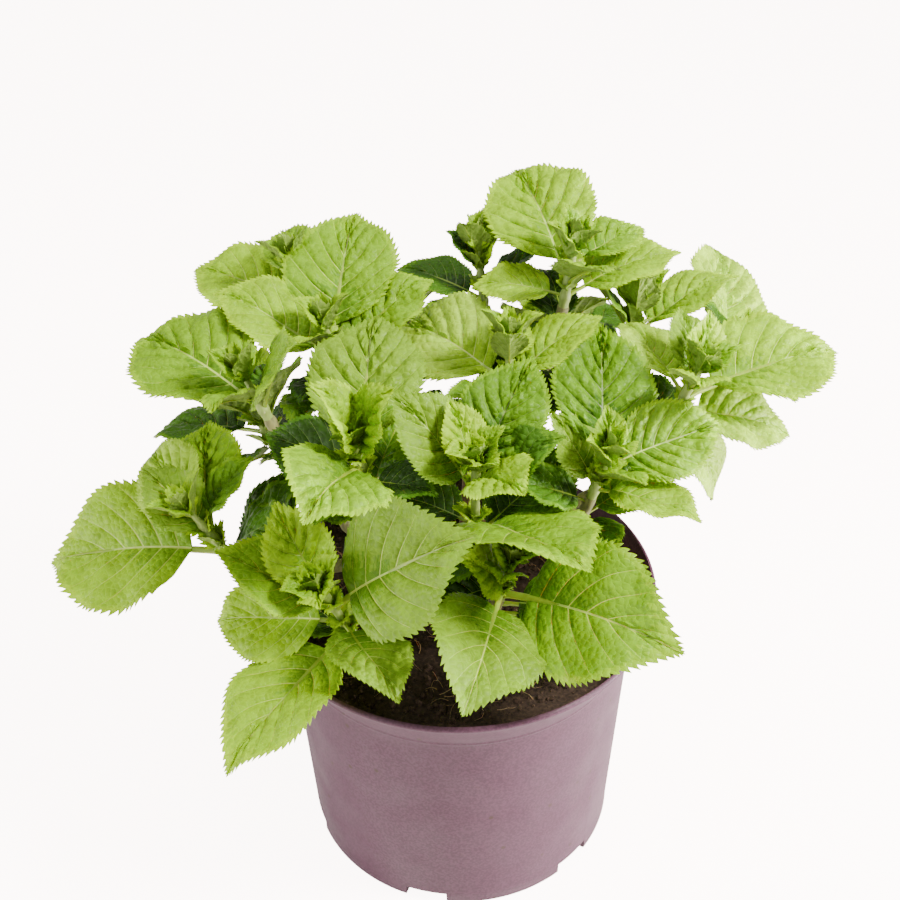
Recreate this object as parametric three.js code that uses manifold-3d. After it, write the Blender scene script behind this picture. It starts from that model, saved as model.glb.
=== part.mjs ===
// Hydrangea shrub in its pot. Millimetres, +Z up, origin at the middle of the pot's flat underside.
//
// The pot is a tapered plastic tub with a flared collar, filled with soil. A short woody stool stands
// on the soil. Limbs and boughs grow from it, each one tapering, and every bough carries one mass of
// foliage: a green stem with opposite pairs of leaves, each pair turned a quarter from the one below.

import * as THREE from 'three';
import { mergeVertices } from 'three/addons/utils/BufferGeometryUtils.js';
import Module from 'manifold-3d';

const wasm = await Module();
wasm.setup();

// ---------- driving sizes ----------

const GAP = 0.3;                       // clearance between neighbouring solids

const POT = {
  baseRadius: 94.5,
  collarFootRadius: 101.7,
  rimRadius: 115,
  collarFootHeight: 152,
  height: 178,
  wall: 2.2,
  floor: 2.6,
  lip: 1.2,                            // how far the rolled rim stands out over the wall
  sides: 48,
};
const NOTCH = { count: 6, width: 25, height: 8, depth: 14, firstAngle: -104 };

const SOIL = {
  edgeHeight: 168, shoulderRadius: 69, shoulderHeight: 169, flatRadius: 26, middleHeight: 170.7, sides: 48,
};

// The stool's outline, from the ground up: radius and height as shares of its own.
const STOOL = {
  x: 4, y: -4, radius: 17, height: 27, sides: 20,
  outline: [[1, 0], [1.04, 0.18], [0.9, 0.5], [0.68, 0.8], [0.36, 0.96]],
  limbsFrom: 0.42,                     // where limbs leave its middle, as a share of its height
};
const STUBS = {                        // old wood cut back to short ends
  from: 0.45, flare: 1.2, sides: 10,
  ends: [
    { heading: -48, lean: 50, radius: 4.8, length: 25 },
    { heading: 168, lean: 58, radius: 4.2, length: 22 },
  ],
};

const WOOD = {
  limbFoot: 5.4, limbTip: 4.7, boughFoot: 3.9, boughTip: 3.1,
  reach: 0.4,                          // how far a limb keeps its first and last directions
  lift: { limb: 0.25, bough: 0, stoolBough: 0.15 },   // how much steeper than straight it sets off
  sides: 6, steps: 5,
};
const STEM = { foot: 2.8, tip: 1.7, sides: 6, steps: 1, below: 7 };

const LEAF = {
  width: 0.74,                         // blade width as a share of its length
  petiole: 0.2,                        // stalk length, same share
  budPetiole: 0.08,
  thickness: 0.024,                    // at the midrib, same share
  tipThickness: 0.35,                  // at the tip, as a share of the midrib's
  stalkRadius: 0.024,
  fullness: 0.8,                       // exponent of the outline: lower is fuller towards the foot
  small: { upTo: 35, bend: 12, stations: [0.42, 1] },
  large: { bend: 20, stations: [0.17, 0.45, 0.78, 1] },
  cupped: { upTo: 40, fold: 22 },      // how far each half folds up from the midrib
  open: { fold: 14 },
  parts: 12,                           // steps in which the midrib's curve is summed
};

// Foliage masses. tip: the bud at the top of the stem. lean and toward: the stem's tilt from upright
// and the way it tilts, in degrees. Each row is a pair of leaves: how far below the bud it stands,
// then for each leaf its heading round the stem, its rise, the blade's length and, where the blade
// is rolled about its midrib, the roll. Headings count anticlockwise from +X.
const SHOOTS = {
  top: { tip: [65, 58, 364], lean: 10, toward: 30, pairs: [
    [28, [168, 3, 44, -15], [19, 30, 60]],
    [20, [110, 26, 83, -23], [280, 40, 47]],
    [10, [38, 24, 45], [200, 60, 26]]] },
  upper_back: { tip: [14, 95, 345], lean: 15, toward: 110, pairs: [
    [30, [150, 24, 50, -12], [10, 40, 40]],
    [16, [150, 58, 27], [25, 62, 25]]] },
  upper_left: { tip: [-71, 50, 322], lean: 12, toward: 150, pairs: [
    [21, [160, 43, 67, -11], [33, 25, 64, 12]],
    [16, [79, 34, 86, 10], [253, 43, 34]]] },
  high_back_left: { tip: [-94, 110, 329], lean: 20, toward: 140, pairs: [
    [30, [146, 29, 75, -15]],
    [12, [96, 30, 47]]] },
  left: { tip: [-110, 0, 323], lean: 22, toward: 170, pairs: [
    [20, [133, 28, 90], [324, 47, 57, 24]],
    [14, [253, 38, 40, -6], [88, 2, 38]]] },
  left_front: { tip: [-52, -40, 309], lean: 12, toward: 220, pairs: [
    [28, [155, 30, 50, -25], [335, 12, 36]],
    [17, [85, 22, 82, 8], [259, 39, 74, -30]],
    [10, [184, 87, 47, -10], [359, 69, 45, 22]]] },
  front: { tip: [9, -50, 303], lean: 12, toward: 270, pairs: [
    [50, [150, 0, 50], [306, 41, 89, -19]],
    [24, [148, 53, 58, -5], [5, 50, 50]],
    [14, [61, 35, 61], [300, 48, 50, 9]],
    [9, [119, 53, 34], [300, 58, 26]]] },
  centre: { tip: [28, 10, 335], lean: 8, toward: 90, pairs: [
    [24, [132, 14, 76, -28], [25, 37, 53]],
    [14, [88, 29, 33, 20], [270, 65, 26]]] },
  right_front: { tip: [77, -40, 300], lean: 15, toward: 320, pairs: [
    [27, [146, 48, 40, -12], [327, 27, 51, -8]],
    [18, [92, 33, 74], [301, 45, 31, -15]],
    [12, [22, 22, 59, 20], [200, 62, 26]]] },
  right: { tip: [127, 0, 324], lean: 20, toward: 0, pairs: [
    [28, [357, -38, 56, 22], [8, 8, 60, 12]],
    [18, [27, 25, 86], [118, 9, 55, -4]],
    [12, [105, 42, 38], [256, 40, 40, 15]],
    [7, [109, 71, 31], [250, 60, 26]]] },
  high_right: { tip: [165, 80, 285], lean: 18, toward: 20, pairs: [
    [14, [98, 35, 80, 17], [300, 20, 45]],
    [6, [350, 20, 40], [170, 45, 34]]] },
  upper_right: { tip: [104, 70, 323], lean: 20, toward: 60, pairs: [
    [20, [21, 43, 61], [177, 49, 44]],
    [12, [109, 44, 29, 6], [250, 62, 30]]] },
  far_left: { tip: [-145, -20, 249], lean: 30, toward: 180, pairs: [
    [32, [165, 22, 102, -23], [343, 19, 46]],
    [20, [127, 73, 45, 10], [84, 31, 65, 11]],
    [10, [115, 29, 59, -13], [29, 22, 39, 9]]] },
  low_left: { tip: [-72, -75, 243], lean: 25, toward: 240, pairs: [
    [54, [233, 16, 86, 15], [35, -5, 46]],
    [44, [170, 2, 68, -12], [303, 25, 58, -33]],
    [25, [164, 52, 60, 14], [359, 44, 93, 20]],
    [12, [118, 50, 48], [290, 62, 30]]] },
  low_front: { tip: [26, -70, 254], lean: 20, toward: 290, pairs: [
    [33, [254, 29, 80, -13], [322, 40, 97, 28]],
    [24, [199, 61, 40, -24], [195, -8, 42]],
    [14, [250, 58, 30]]] },
  back_right: { tip: [60, 120, 280], lean: 25, toward: 70, pairs: [
    [34, [320, 12, 70], [140, 15, 50]],
    [20, [50, 25, 78], [230, 40, 50]],
    [11, [140, 50, 42], [320, 50, 42]]] },
  back: { tip: [-40, 125, 275], lean: 25, toward: 105, pairs: [
    [34, [185, 11, 56, 4], [5, 8, 50]],
    [20, [100, 25, 75], [280, 40, 50]],
    [11, [10, 50, 42], [190, 50, 42]]] },
  back_left: { tip: [-125, 85, 248], lean: 32, toward: 145, pairs: [
    [34, [60, 12, 70], [240, 15, 60]],
    [20, [150, 22, 74], [330, 40, 55]],
    [11, [60, 50, 42], [240, 50, 42]]] },
};

// The closed leaves round every bud, which follow the same quarter-turn rule.
const BUD = [{ below: 4, blade: 26, rise: 62 }];

// Limbs that fork: where each ends, and the boughs that grow on from its end.
const LIMBS = {
  back_left: { head: [-40, 40, 203], boughs: ['upper_left', 'high_back_left', 'back_left'] },
  left: { head: [-46, -10, 202], boughs: ['left', 'left_front', 'far_left'] },
  right: { head: [50, 6, 212], boughs: ['right_front', 'right', 'upper_right', 'high_right'] },
  middle: { head: [26, 18, 228], boughs: ['top', 'centre'] },
  back: { head: [8, 58, 208], boughs: ['upper_back', 'back_right', 'back'] },
};
const STOOL_BOUGHS = ['low_left', 'low_front', 'front'];   // boughs straight from the stool

const FINISHES = {
  pot: { color: 0x8d7283, roughness: 0.55 },
  soil: { color: 0x2a211c, roughness: 0.95 },
  wood: { color: 0x8a6a4f, roughness: 0.85 },
  bough: { color: 0x75763c, roughness: 0.8 },
  foliage: { color: 0x8fb83c, roughness: 0.6 },
};
const WELD = 1e-4;                     // vertices nearer than this are one

// ---------- helpers ----------

const radians = THREE.MathUtils.degToRad;
const vector = (list) => new THREE.Vector3(...list);

function solidOf(geometry) {
  const bare = geometry.clone();
  bare.deleteAttribute('normal');
  bare.deleteAttribute('uv');
  const merged = mergeVertices(bare, WELD);
  return new wasm.Manifold(new wasm.Mesh({
    numProp: 3,
    vertProperties: new Float32Array(merged.attributes.position.array),
    triVerts: new Uint32Array(merged.index.array),
  }));
}

function geometryOf(solid) {
  const mesh = solid.getMesh();
  const geometry = new THREE.BufferGeometry();
  geometry.setAttribute('position', new THREE.BufferAttribute(new Float32Array(mesh.vertProperties), 3));
  geometry.setIndex(new THREE.BufferAttribute(new Uint32Array(mesh.triVerts), 1));
  geometry.computeVertexNormals();
  return geometry;
}

const boxOf = (solid) => {
  const { min, max } = solid.boundingBox();
  return new THREE.Box3(vector([...min]), vector([...max]));
};

const meets = (a, b) => boxOf(a).intersectsBox(boxOf(b)) && !a.intersect(b).isEmpty();

// A closed cylinder is the blank for limbs and leaves: place(t, across, up) says where its point at
// t along its length and (across, up) in its unit circle goes.
function shaped(sides, steps, place) {
  const blank = new THREE.CylinderGeometry(1, 1, 1, sides, steps);
  const points = blank.attributes.position;
  const point = new THREE.Vector3();
  for (let i = 0; i < points.count; i += 1) {
    point.fromBufferAttribute(points, i);
    const moved = place(point.y + 0.5, point.x, point.z);
    points.setXYZ(i, moved.x, moved.y, moved.z);
  }
  return solidOf(blank);
}

// ---------- pot and soil ----------

function innerPotRadius(height) {
  const foot = POT.collarFootHeight;
  if (height <= foot) {
    return THREE.MathUtils.mapLinear(height, 0, foot, POT.baseRadius, POT.collarFootRadius) - POT.wall;
  }
  return THREE.MathUtils.mapLinear(height, foot, POT.height, POT.collarFootRadius, POT.rimRadius) - POT.wall;
}

function lathe(profile, sides) {
  const points = profile.map(([radius, height]) => new THREE.Vector2(radius, height));
  return solidOf(new THREE.LatheGeometry(points, sides).rotateX(Math.PI / 2));
}

function makePot() {
  const { baseRadius, collarFootRadius, collarFootHeight, rimRadius, height, wall, floor, lip } = POT;
  const shell = lathe([
    [0, 0], [baseRadius, 0], [collarFootRadius, collarFootHeight],
    [rimRadius - lip, height - 3 * lip], [rimRadius, height - 2 * lip], [rimRadius, height - lip / 2],
    [rimRadius - lip, height], [rimRadius - wall, height - lip / 2],
    [innerPotRadius(collarFootHeight), collarFootHeight], [innerPotRadius(floor), floor], [0, floor],
  ], POT.sides);
  let pot = shell;
  for (let i = 0; i < NOTCH.count; i += 1) {
    const cut = new THREE.BoxGeometry(NOTCH.depth, NOTCH.width, 2 * NOTCH.height);
    cut.translate(baseRadius, 0, 0);
    cut.rotateZ(radians(NOTCH.firstAngle + (360 / NOTCH.count) * i));
    pot = pot.subtract(solidOf(cut));
  }
  return pot;
}

function makeSoil() {
  const bottom = POT.floor + GAP;
  const foot = POT.collarFootHeight;
  return lathe([
    [0, bottom], [innerPotRadius(bottom) - GAP, bottom], [innerPotRadius(foot) - GAP, foot],
    [innerPotRadius(SOIL.edgeHeight) - GAP, SOIL.edgeHeight],
    [SOIL.shoulderRadius, SOIL.shoulderHeight], [SOIL.flatRadius, SOIL.middleHeight],
    [0, SOIL.middleHeight],
  ], SOIL.sides);
}

// ---------- stool, limbs and boughs ----------

function makeStool(grow = 0) {
  const foot = SOIL.middleHeight + GAP;
  const { x, y, radius, height, outline, sides } = STOOL;
  const points = outline.map(([across, up]) => [across * radius + grow, up * height]);
  let stool = lathe([[0, 0], ...points, [0, height + grow]], sides).translate([x, y, foot]);
  for (const stub of STUBS.ends) {
    const end = new THREE.CylinderGeometry(
      stub.radius + grow, stub.radius * STUBS.flare + grow, stub.length, STUBS.sides,
    );
    end.translate(0, stub.length / 2, 0).rotateX(Math.PI / 2);
    end.rotateY(radians(stub.lean)).rotateZ(radians(stub.heading));
    end.translate(x, y, foot + STUBS.from * height);
    stool = stool.add(solidOf(end));
  }
  return stool;
}

// A limb follows a curve between two points, leaving and arriving along given directions, and its
// round section shrinks evenly from foot to tip.
function makeLimb(start, leave, end, arrive, footRadius, tipRadius, grow = 0) {
  const reach = start.distanceTo(end) * WOOD.reach;
  const curve = new THREE.CubicBezierCurve3(
    start, start.clone().addScaledVector(leave, reach),
    end.clone().addScaledVector(arrive, -reach), end,
  );
  const seed = Math.abs(arrive.z) < 0.9 ? new THREE.Vector3(0, 0, 1) : new THREE.Vector3(1, 0, 0);
  return shaped(WOOD.sides, WOOD.steps, (t, across, up) => {
    const middle = curve.getPoint(t);
    const along = curve.getTangent(t);
    const sideways = new THREE.Vector3().crossVectors(along, seed).normalize();
    const over = new THREE.Vector3().crossVectors(sideways, along);
    const radius = THREE.MathUtils.lerp(footRadius, tipRadius, t) + grow;
    const past = t === 1 ? grow : 0;
    return middle.addScaledVector(sideways, across * radius).addScaledVector(over, up * radius)
      .addScaledVector(along, past);
  });
}

// ---------- foliage ----------

function stemFrame(shoot) {
  const lean = radians(shoot.lean);
  const toward = radians(shoot.toward);
  const along = new THREE.Vector3(
    Math.sin(lean) * Math.cos(toward), Math.sin(lean) * Math.sin(toward), Math.cos(lean),
  );
  const east = new THREE.Vector3(1, 0, 0).addScaledVector(along, -along.x).normalize();
  const north = new THREE.Vector3().crossVectors(along, east);
  const tip = vector(shoot.tip);
  const foot = tip.clone().addScaledVector(along, -(shoot.pairs[0][0] + STEM.below));
  return { along, east, north, tip, foot };
}

function makeStem({ along, east, north, foot, tip }, grow = 0) {
  return shaped(STEM.sides, STEM.steps, (t, across, up) => {
    const radius = THREE.MathUtils.lerp(STEM.foot, STEM.tip, t) + grow;
    return foot.clone().lerp(tip, t).addScaledVector(along, grow * (2 * t - 1))
      .addScaledVector(east, across * radius).addScaledVector(north, -up * radius);
  });
}

// A leaf: a stalk that leaves the stem at the leaf's rise, then a blade that bends down along its
// length, folds up a little on both sides of the midrib and may roll about it. Half its width is
// sin(pi s^fullness)^fullness of half the full width at the share s of its length.
function makeLeaf(frame, below, [heading, rise, blade, roll = 0], grow = 0) {
  const { bend, stations } = blade < LEAF.small.upTo ? LEAF.small : LEAF.large;
  const { fold } = blade > LEAF.cupped.upTo ? LEAF.open : LEAF.cupped;
  const turn = radians(heading);
  const outward = frame.east.clone().multiplyScalar(Math.cos(turn))
    .addScaledVector(frame.north, Math.sin(turn));
  const side = new THREE.Vector3().crossVectors(frame.along, outward);
  const root = frame.tip.clone().addScaledVector(frame.along, -below);
  const stalk = blade * (below > BUD[0].below ? LEAF.petiole : LEAF.budPetiole);
  const first = radians(rise);
  const along = (angle) => outward.clone().multiplyScalar(Math.cos(angle))
    .addScaledVector(frame.along, Math.sin(angle));
  const stalkRing = (t) => {
    const radius = blade * LEAF.stalkRadius + grow;
    const middle = root.clone().addScaledVector(along(first), stalk * t);
    return { middle, angle: first, half: radius, thick: radius, lift: 0 };
  };
  const bladeRing = (t) => {
    const bent = (share) => first - radians(bend) * t * share;
    const middle = stalkRing(1).middle;
    for (let i = 0; i < LEAF.parts; i += 1) {
      middle.addScaledVector(along(bent((i + 0.5) / LEAF.parts)), (blade * t) / LEAF.parts);
    }
    const s = Math.min(t, 0.99);
    const half = (LEAF.width / 2) * blade * Math.sin(Math.PI * s ** LEAF.fullness) ** LEAF.fullness;
    const thickness = blade * LEAF.thickness * (t < 1 ? 1 : LEAF.tipThickness);
    return { middle, angle: bent(1), half: half + grow, thick: thickness / 2 + grow,
      lift: Math.sin(radians(fold)) * half };
  };
  const rings = [stalkRing(0), stalkRing(1), ...stations.map(bladeRing)];
  return shaped(4, rings.length - 1, (t, across, up) => {
    const ring = rings[Math.round(t * (rings.length - 1))];
    const rolled = radians(roll);
    const normal = along(ring.angle + Math.PI / 2);
    const over = normal.clone().multiplyScalar(Math.cos(rolled)).addScaledVector(side, -Math.sin(rolled));
    const wide = side.clone().multiplyScalar(Math.cos(rolled)).addScaledVector(normal, Math.sin(rolled));
    return ring.middle.clone().addScaledVector(wide, -across * ring.half)
      .addScaledVector(over, up * ring.thick + Math.abs(across) * ring.lift);
  });
}

function leavesOf(shoot) {
  const leaves = shoot.pairs.flatMap(([below, ...pair]) => pair.map((leaf) => ({ below, leaf })));
  const lastHeading = shoot.pairs.at(-1)[1][0];
  BUD.forEach(({ below, blade, rise }, k) => {
    for (const opposite of [0, 180]) {
      leaves.push({ below, leaf: [lastHeading + 90 * (k + 1) + opposite, rise, blade] });
    }
  });
  return leaves;
}

// ---------- assembly ----------

const plant = new THREE.Group();

function addNode(name, solid, finish) {
  const material = new THREE.MeshStandardMaterial({ ...finish, metalness: 0 });
  const mesh = new THREE.Mesh(geometryOf(solid), material);
  mesh.name = name;
  plant.add(mesh);
}

addNode('pot', makePot(), FINISHES.pot);
addNode('soil', makeSoil(), FINISHES.soil);
addNode('stool', makeStool(), FINISHES.wood);

const frames = Object.fromEntries(Object.entries(SHOOTS).map(([name, shoot]) => [name, stemFrame(shoot)]));
const stoolMiddle = new THREE.Vector3(
  STOOL.x, STOOL.y, SOIL.middleHeight + STOOL.limbsFrom * STOOL.height,
);
const largest = (solid) => solid.decompose().sort((a, b) => b.volume() - a.volume())[0];

// Every limb and bough is trimmed clear of those made before it.
const grown = [makeStool(GAP)];
const wood = [];
function addWood(name, finish, ...shape) {
  let limb = makeLimb(...shape);
  for (const other of grown) {
    if (meets(limb, other)) limb = limb.subtract(other);
  }
  limb = largest(limb);
  grown.push(makeLimb(...shape, GAP));
  wood.push(limb);
  addNode(name, limb, finish);
}

function towards(from, to, lift) {
  const way = to.clone().sub(from);
  way.z = Math.max(way.z, 0) + lift * way.length();
  return way.normalize();
}

for (const [name, limb] of Object.entries(LIMBS)) {
  const head = vector(limb.head);
  const leave = towards(stoolMiddle, head, WOOD.lift.limb);
  const arrive = head.clone().sub(stoolMiddle).normalize();
  addWood(`limb_${name}`, FINISHES.wood, stoolMiddle, leave, head, arrive, WOOD.limbFoot, WOOD.limbTip);
  for (const bough of limb.boughs) {
    const { foot, along } = frames[bough];
    const end = foot.clone().addScaledVector(along, -GAP);
    const set = towards(head, end, WOOD.lift.bough);
    addWood(`bough_${bough}`, FINISHES.bough, head, set, end, along, WOOD.boughFoot, WOOD.boughTip);
  }
}
for (const bough of STOOL_BOUGHS) {
  const { foot, along } = frames[bough];
  const end = foot.clone().addScaledVector(along, -GAP);
  const set = towards(stoolMiddle, end, WOOD.lift.stoolBough);
  addWood(`bough_${bough}`, FINISHES.bough, stoolMiddle, set, end, along, WOOD.boughFoot, WOOD.boughTip);
}

// Leaves are set one by one, the largest pairs of every mass first. One that would touch wood, the
// soil, the pot or another mass is left off.
const masses = Object.entries(SHOOTS).map(([name, shoot]) => ({
  name, solids: [makeStem(frames[name])], leaves: leavesOf(shoot),
}));
const fixed = [makePot(), makeSoil(), makeStool(), ...wood];
const mostLeaves = Math.max(...masses.map(({ leaves }) => leaves.length));
for (let turn = 0; turn < mostLeaves; turn += 1) {
  for (const mass of masses) {
    if (turn >= mass.leaves.length) continue;
    const { below, leaf } = mass.leaves[turn];
    const room = makeLeaf(frames[mass.name], below, leaf, GAP / 2);
    const others = masses.filter((other) => other !== mass).flatMap(({ solids }) => solids);
    if ([...fixed, ...others].some((other) => meets(room, other))) continue;
    mass.solids.push(makeLeaf(frames[mass.name], below, leaf));
  }
}
for (const mass of masses) {
  const whole = mass.solids.reduce((sum, leaf) => sum.add(leaf));
  addNode(`foliage_${mass.name}`, whole, FINISHES.foliage);
}

export default plant;
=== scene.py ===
"""A young hydrangea in its plastic pot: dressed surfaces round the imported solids.

Every surface is a grid of points worked out from two parameters. Sizes in the tables are millimetres
and turn into metres when a mesh is made. +Z is up, and the origin is the middle of the pot's underside.
"""
import math

import bpy
import numpy as np
from mathutils import Matrix, Vector


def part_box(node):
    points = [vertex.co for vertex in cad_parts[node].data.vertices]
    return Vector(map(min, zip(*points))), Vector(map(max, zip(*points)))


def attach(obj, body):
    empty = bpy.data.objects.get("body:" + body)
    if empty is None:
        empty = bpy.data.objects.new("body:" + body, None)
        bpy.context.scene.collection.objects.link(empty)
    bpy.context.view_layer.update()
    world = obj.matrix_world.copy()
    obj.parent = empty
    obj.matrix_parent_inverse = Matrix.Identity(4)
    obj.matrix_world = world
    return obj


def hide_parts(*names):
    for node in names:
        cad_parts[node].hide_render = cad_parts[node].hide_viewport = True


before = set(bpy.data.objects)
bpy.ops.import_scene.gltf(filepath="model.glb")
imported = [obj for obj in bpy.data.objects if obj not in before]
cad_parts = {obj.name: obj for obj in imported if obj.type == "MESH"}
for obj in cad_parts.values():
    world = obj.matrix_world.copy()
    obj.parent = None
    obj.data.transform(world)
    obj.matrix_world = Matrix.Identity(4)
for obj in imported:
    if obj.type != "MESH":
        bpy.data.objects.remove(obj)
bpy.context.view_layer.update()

MM = 0.001
SEED = 41

# ---------------------------------------------------------------- driving sizes, in millimetres

RIM_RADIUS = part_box("pot")[1].x / MM
POT_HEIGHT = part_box("pot")[1].z / MM
BASE_RADIUS = 94.5
COLLAR_RADIUS = 101.7          # outside the wall where the flared collar starts
COLLAR_FOOT = 152.0
WALL = 2.2
NOTCHES = dict(count=6, width=25.0, height=8.0, depth=14.0, first=-104.0)
INNER_FLOOR = 11.0

SOIL_EDGE = 168.0
SOIL_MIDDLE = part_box("soil")[1].z / MM
SOIL_FLAT = 26.0               # radius of the flat middle of the soil

STOOL = dict(x=4.0, y=-4.0, radius=17.0, height=27.0, limbs_from=0.42,
             outline=[(1, 0), (1.04, 0.18), (0.9, 0.5), (0.68, 0.8), (0.36, 0.96)])
STUBS = [dict(heading=-48, lean=50, radius=4.8, length=25), dict(heading=168, lean=58, radius=4.2, length=22)]
STUB_FROM = 0.45               # where stubs leave the stool, as a share of its height
STUB_FLARE = 1.2

LIMB_RADII = (5.4, 4.7)
BOUGH_RADII = (3.9, 3.1)
STEM_RADII = (2.8, 1.7)
REACH = 0.4                    # how far a limb keeps its first and last directions
LIFT = dict(limb=0.25, bough=0.0, stool_bough=0.15)
STEM_BELOW = 7.0               # stem below its lowest pair

WIDTH = 0.74                   # blade width as a share of its length
PETIOLE = 0.2
BUD_PETIOLE = 0.08
SMALL = 35.0                   # blades shorter than this bend less
CUPPED = 40.0                  # blades shorter than this fold up more
BEND = dict(small=12.0, large=20.0)
FOLD = dict(bud=34.0, cupped=22.0, open=14.0)

# Foliage masses. tip: the bud at the top of the stem. lean and toward: the stem's tilt from upright and
# the way it tilts, in degrees. Each pair of leaves: how far below the bud it stands, then for each leaf
# its heading round the stem, its rise, the blade's length and, where it is rolled about its midrib, the
# roll. Headings count anticlockwise from +X.
SHOOTS = {
    "top": ((65, 58, 364), 10, 30, [
        (28, (168, 3, 44, -15), (19, 30, 60)),
        (20, (110, 26, 83, -23), (280, 40, 47)),
        (10, (38, 24, 45), (200, 60, 26))]),
    "upper_back": ((14, 95, 345), 15, 110, [
        (30, (150, 24, 50, -12), (10, 40, 40)),
        (16, (150, 58, 27), (25, 62, 25))]),
    "upper_left": ((-71, 50, 322), 12, 150, [
        (21, (160, 43, 67, -11), (33, 25, 64, 12)),
        (16, (79, 34, 86, 10), (253, 43, 34))]),
    "high_back_left": ((-94, 110, 329), 20, 140, [
        (30, (146, 29, 75, -15)),
        (12, (96, 30, 47))]),
    "left": ((-110, 0, 323), 22, 170, [
        (20, (133, 28, 90), (324, 47, 57, 24)),
        (14, (253, 38, 40, -6), (88, 2, 38))]),
    "left_front": ((-52, -40, 309), 12, 220, [
        (28, (155, 30, 50, -25), (335, 12, 36)),
        (17, (85, 22, 82, 8), (259, 39, 74, -30)),
        (10, (184, 87, 47, -10), (359, 69, 45, 22))]),
    "front": ((9, -50, 303), 12, 270, [
        (50, (150, 0, 50), (306, 41, 89, -19)),
        (24, (148, 53, 58, -5), (5, 50, 50)),
        (14, (61, 35, 61), (300, 48, 50, 9)),
        (9, (119, 53, 34), (300, 58, 26))]),
    "centre": ((28, 10, 335), 8, 90, [
        (24, (132, 14, 76, -28), (25, 37, 53)),
        (14, (88, 29, 33, 20), (270, 65, 26))]),
    "right_front": ((77, -40, 300), 15, 320, [
        (27, (146, 48, 40, -12), (327, 27, 51, -8)),
        (18, (92, 33, 74), (301, 45, 31, -15)),
        (12, (22, 22, 59, 20), (200, 62, 26))]),
    "right": ((127, 0, 324), 20, 0, [
        (28, (357, -38, 56, 22), (8, 8, 60, 12)),
        (18, (27, 25, 86), (118, 9, 55, -4)),
        (12, (105, 42, 38), (256, 40, 40, 15)),
        (7, (109, 71, 31), (250, 60, 26))]),
    "high_right": ((165, 80, 285), 18, 20, [
        (14, (98, 35, 80, 17), (300, 20, 45)),
        (6, (350, 20, 40), (170, 45, 34))]),
    "upper_right": ((104, 70, 323), 20, 60, [
        (20, (21, 43, 61), (177, 49, 44)),
        (12, (109, 44, 29, 6), (250, 62, 30))]),
    "far_left": ((-145, -20, 249), 30, 180, [
        (32, (165, 22, 102, -23), (343, 19, 46)),
        (20, (127, 73, 45, 10), (84, 31, 65, 11)),
        (10, (115, 29, 59, -13), (29, 22, 39, 9))]),
    "low_left": ((-72, -75, 243), 25, 240, [
        (54, (233, 16, 86, 15), (35, -5, 46)),
        (44, (170, 2, 68, -12), (303, 25, 58, -33)),
        (25, (164, 52, 60, 14), (359, 44, 93, 20)),
        (12, (118, 50, 48), (290, 62, 30))]),
    "low_front": ((26, -70, 254), 20, 290, [
        (33, (254, 29, 80, -13), (322, 40, 97, 28)),
        (24, (199, 61, 40, -24), (195, -8, 42)),
        (14, (250, 58, 30))]),
    "back_right": ((60, 120, 280), 25, 70, [
        (34, (320, 12, 70), (140, 15, 50)),
        (20, (50, 25, 78), (230, 40, 50)),
        (11, (140, 50, 42), (320, 50, 42))]),
    "back": ((-40, 125, 275), 25, 105, [
        (34, (185, 11, 56, 4), (5, 8, 50)),
        (20, (100, 25, 75), (280, 40, 50)),
        (11, (10, 50, 42), (190, 50, 42))]),
    "back_left": ((-125, 85, 248), 32, 145, [
        (34, (60, 12, 70), (240, 15, 60)),
        (20, (150, 22, 74), (330, 40, 55)),
        (11, (60, 50, 42), (240, 50, 42))]),
}
# The closed leaves round every bud, each pair a quarter turn on: below the bud, blade, rise, bend.
BUD = [(4.0, 26, 60, 8), (2.6, 20, 68, -14), (1.4, 14, 76, -22), (0.6, 9, 80, -26)]

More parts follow.
